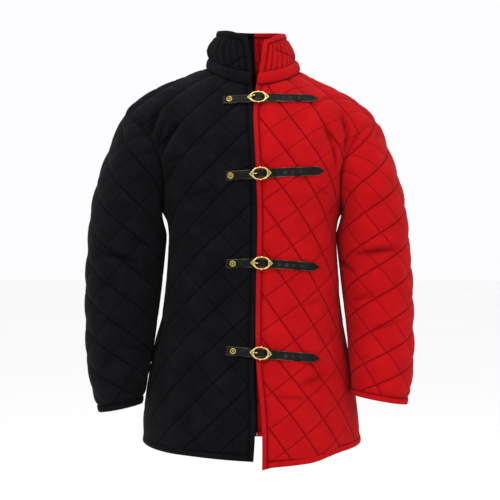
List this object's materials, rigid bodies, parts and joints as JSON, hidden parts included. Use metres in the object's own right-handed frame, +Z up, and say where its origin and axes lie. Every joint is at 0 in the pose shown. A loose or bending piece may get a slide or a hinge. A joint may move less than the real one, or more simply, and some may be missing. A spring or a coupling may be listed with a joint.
{
  "type": "gambeson",
  "caption": "Thigh-length bicolour quilted arming coat with a standing collar, long sleeves and buckled leather straps across the front opening.",
  "frame": {"origin": "on the coat's middle plane at the height of the shoulder line, where the wearer's shoulders hold the coat up", "axes": "+Z up, -Y out of the coat's front, +X to the wearer's left (the red half)"},
  "size_m": [0.6197, 0.3028, 0.8125],
  "materials": {
    "black_canvas": "matte quilted cotton canvas",
    "red_canvas": "matte quilted cotton canvas",
    "black_leather": "smooth, slightly worn",
    "antique_brass": "antiqued, worn bright on the high places"
  },
  "bodies": {
    "root": {"front_right": "black_canvas", "front_left": "red_canvas", "back_right": "black_canvas", "back_left": "red_canvas", "sleeve_right": "black_canvas", "sleeve_left": "red_canvas", "collar_right": "black_canvas", "collar_left": "red_canvas", "collar_roll_right": "black_canvas", "collar_roll_left": "red_canvas", "collar_band_right": "black_canvas", "collar_band_left": "red_canvas", "front_edge_right": "black_canvas", "front_edge_left": "red_canvas", "hem_front_right": "black_canvas", "hem_front_left": "red_canvas", "hem_back_right": "black_canvas", "hem_back_left": "red_canvas", "cuff_right": "black_canvas", "cuff_left": "red_canvas", "strap_1": "black_leather", "chape_1": "black_leather", "buckle_1": "antique_brass", "prong_1": "antique_brass", "rivet_1": "antique_brass", "strap_2": "black_leather", "chape_2": "black_leather", "buckle_2": "antique_brass", "prong_2": "antique_brass", "rivet_2": "antique_brass", "strap_3": "black_leather", "chape_3": "black_leather", "buckle_3": "antique_brass", "prong_3": "antique_brass", "rivet_3": "antique_brass", "strap_4": "black_leather", "chape_4": "black_leather", "buckle_4": "antique_brass", "prong_4": "antique_brass", "rivet_4": "antique_brass"}
  },
  "joints": []
}
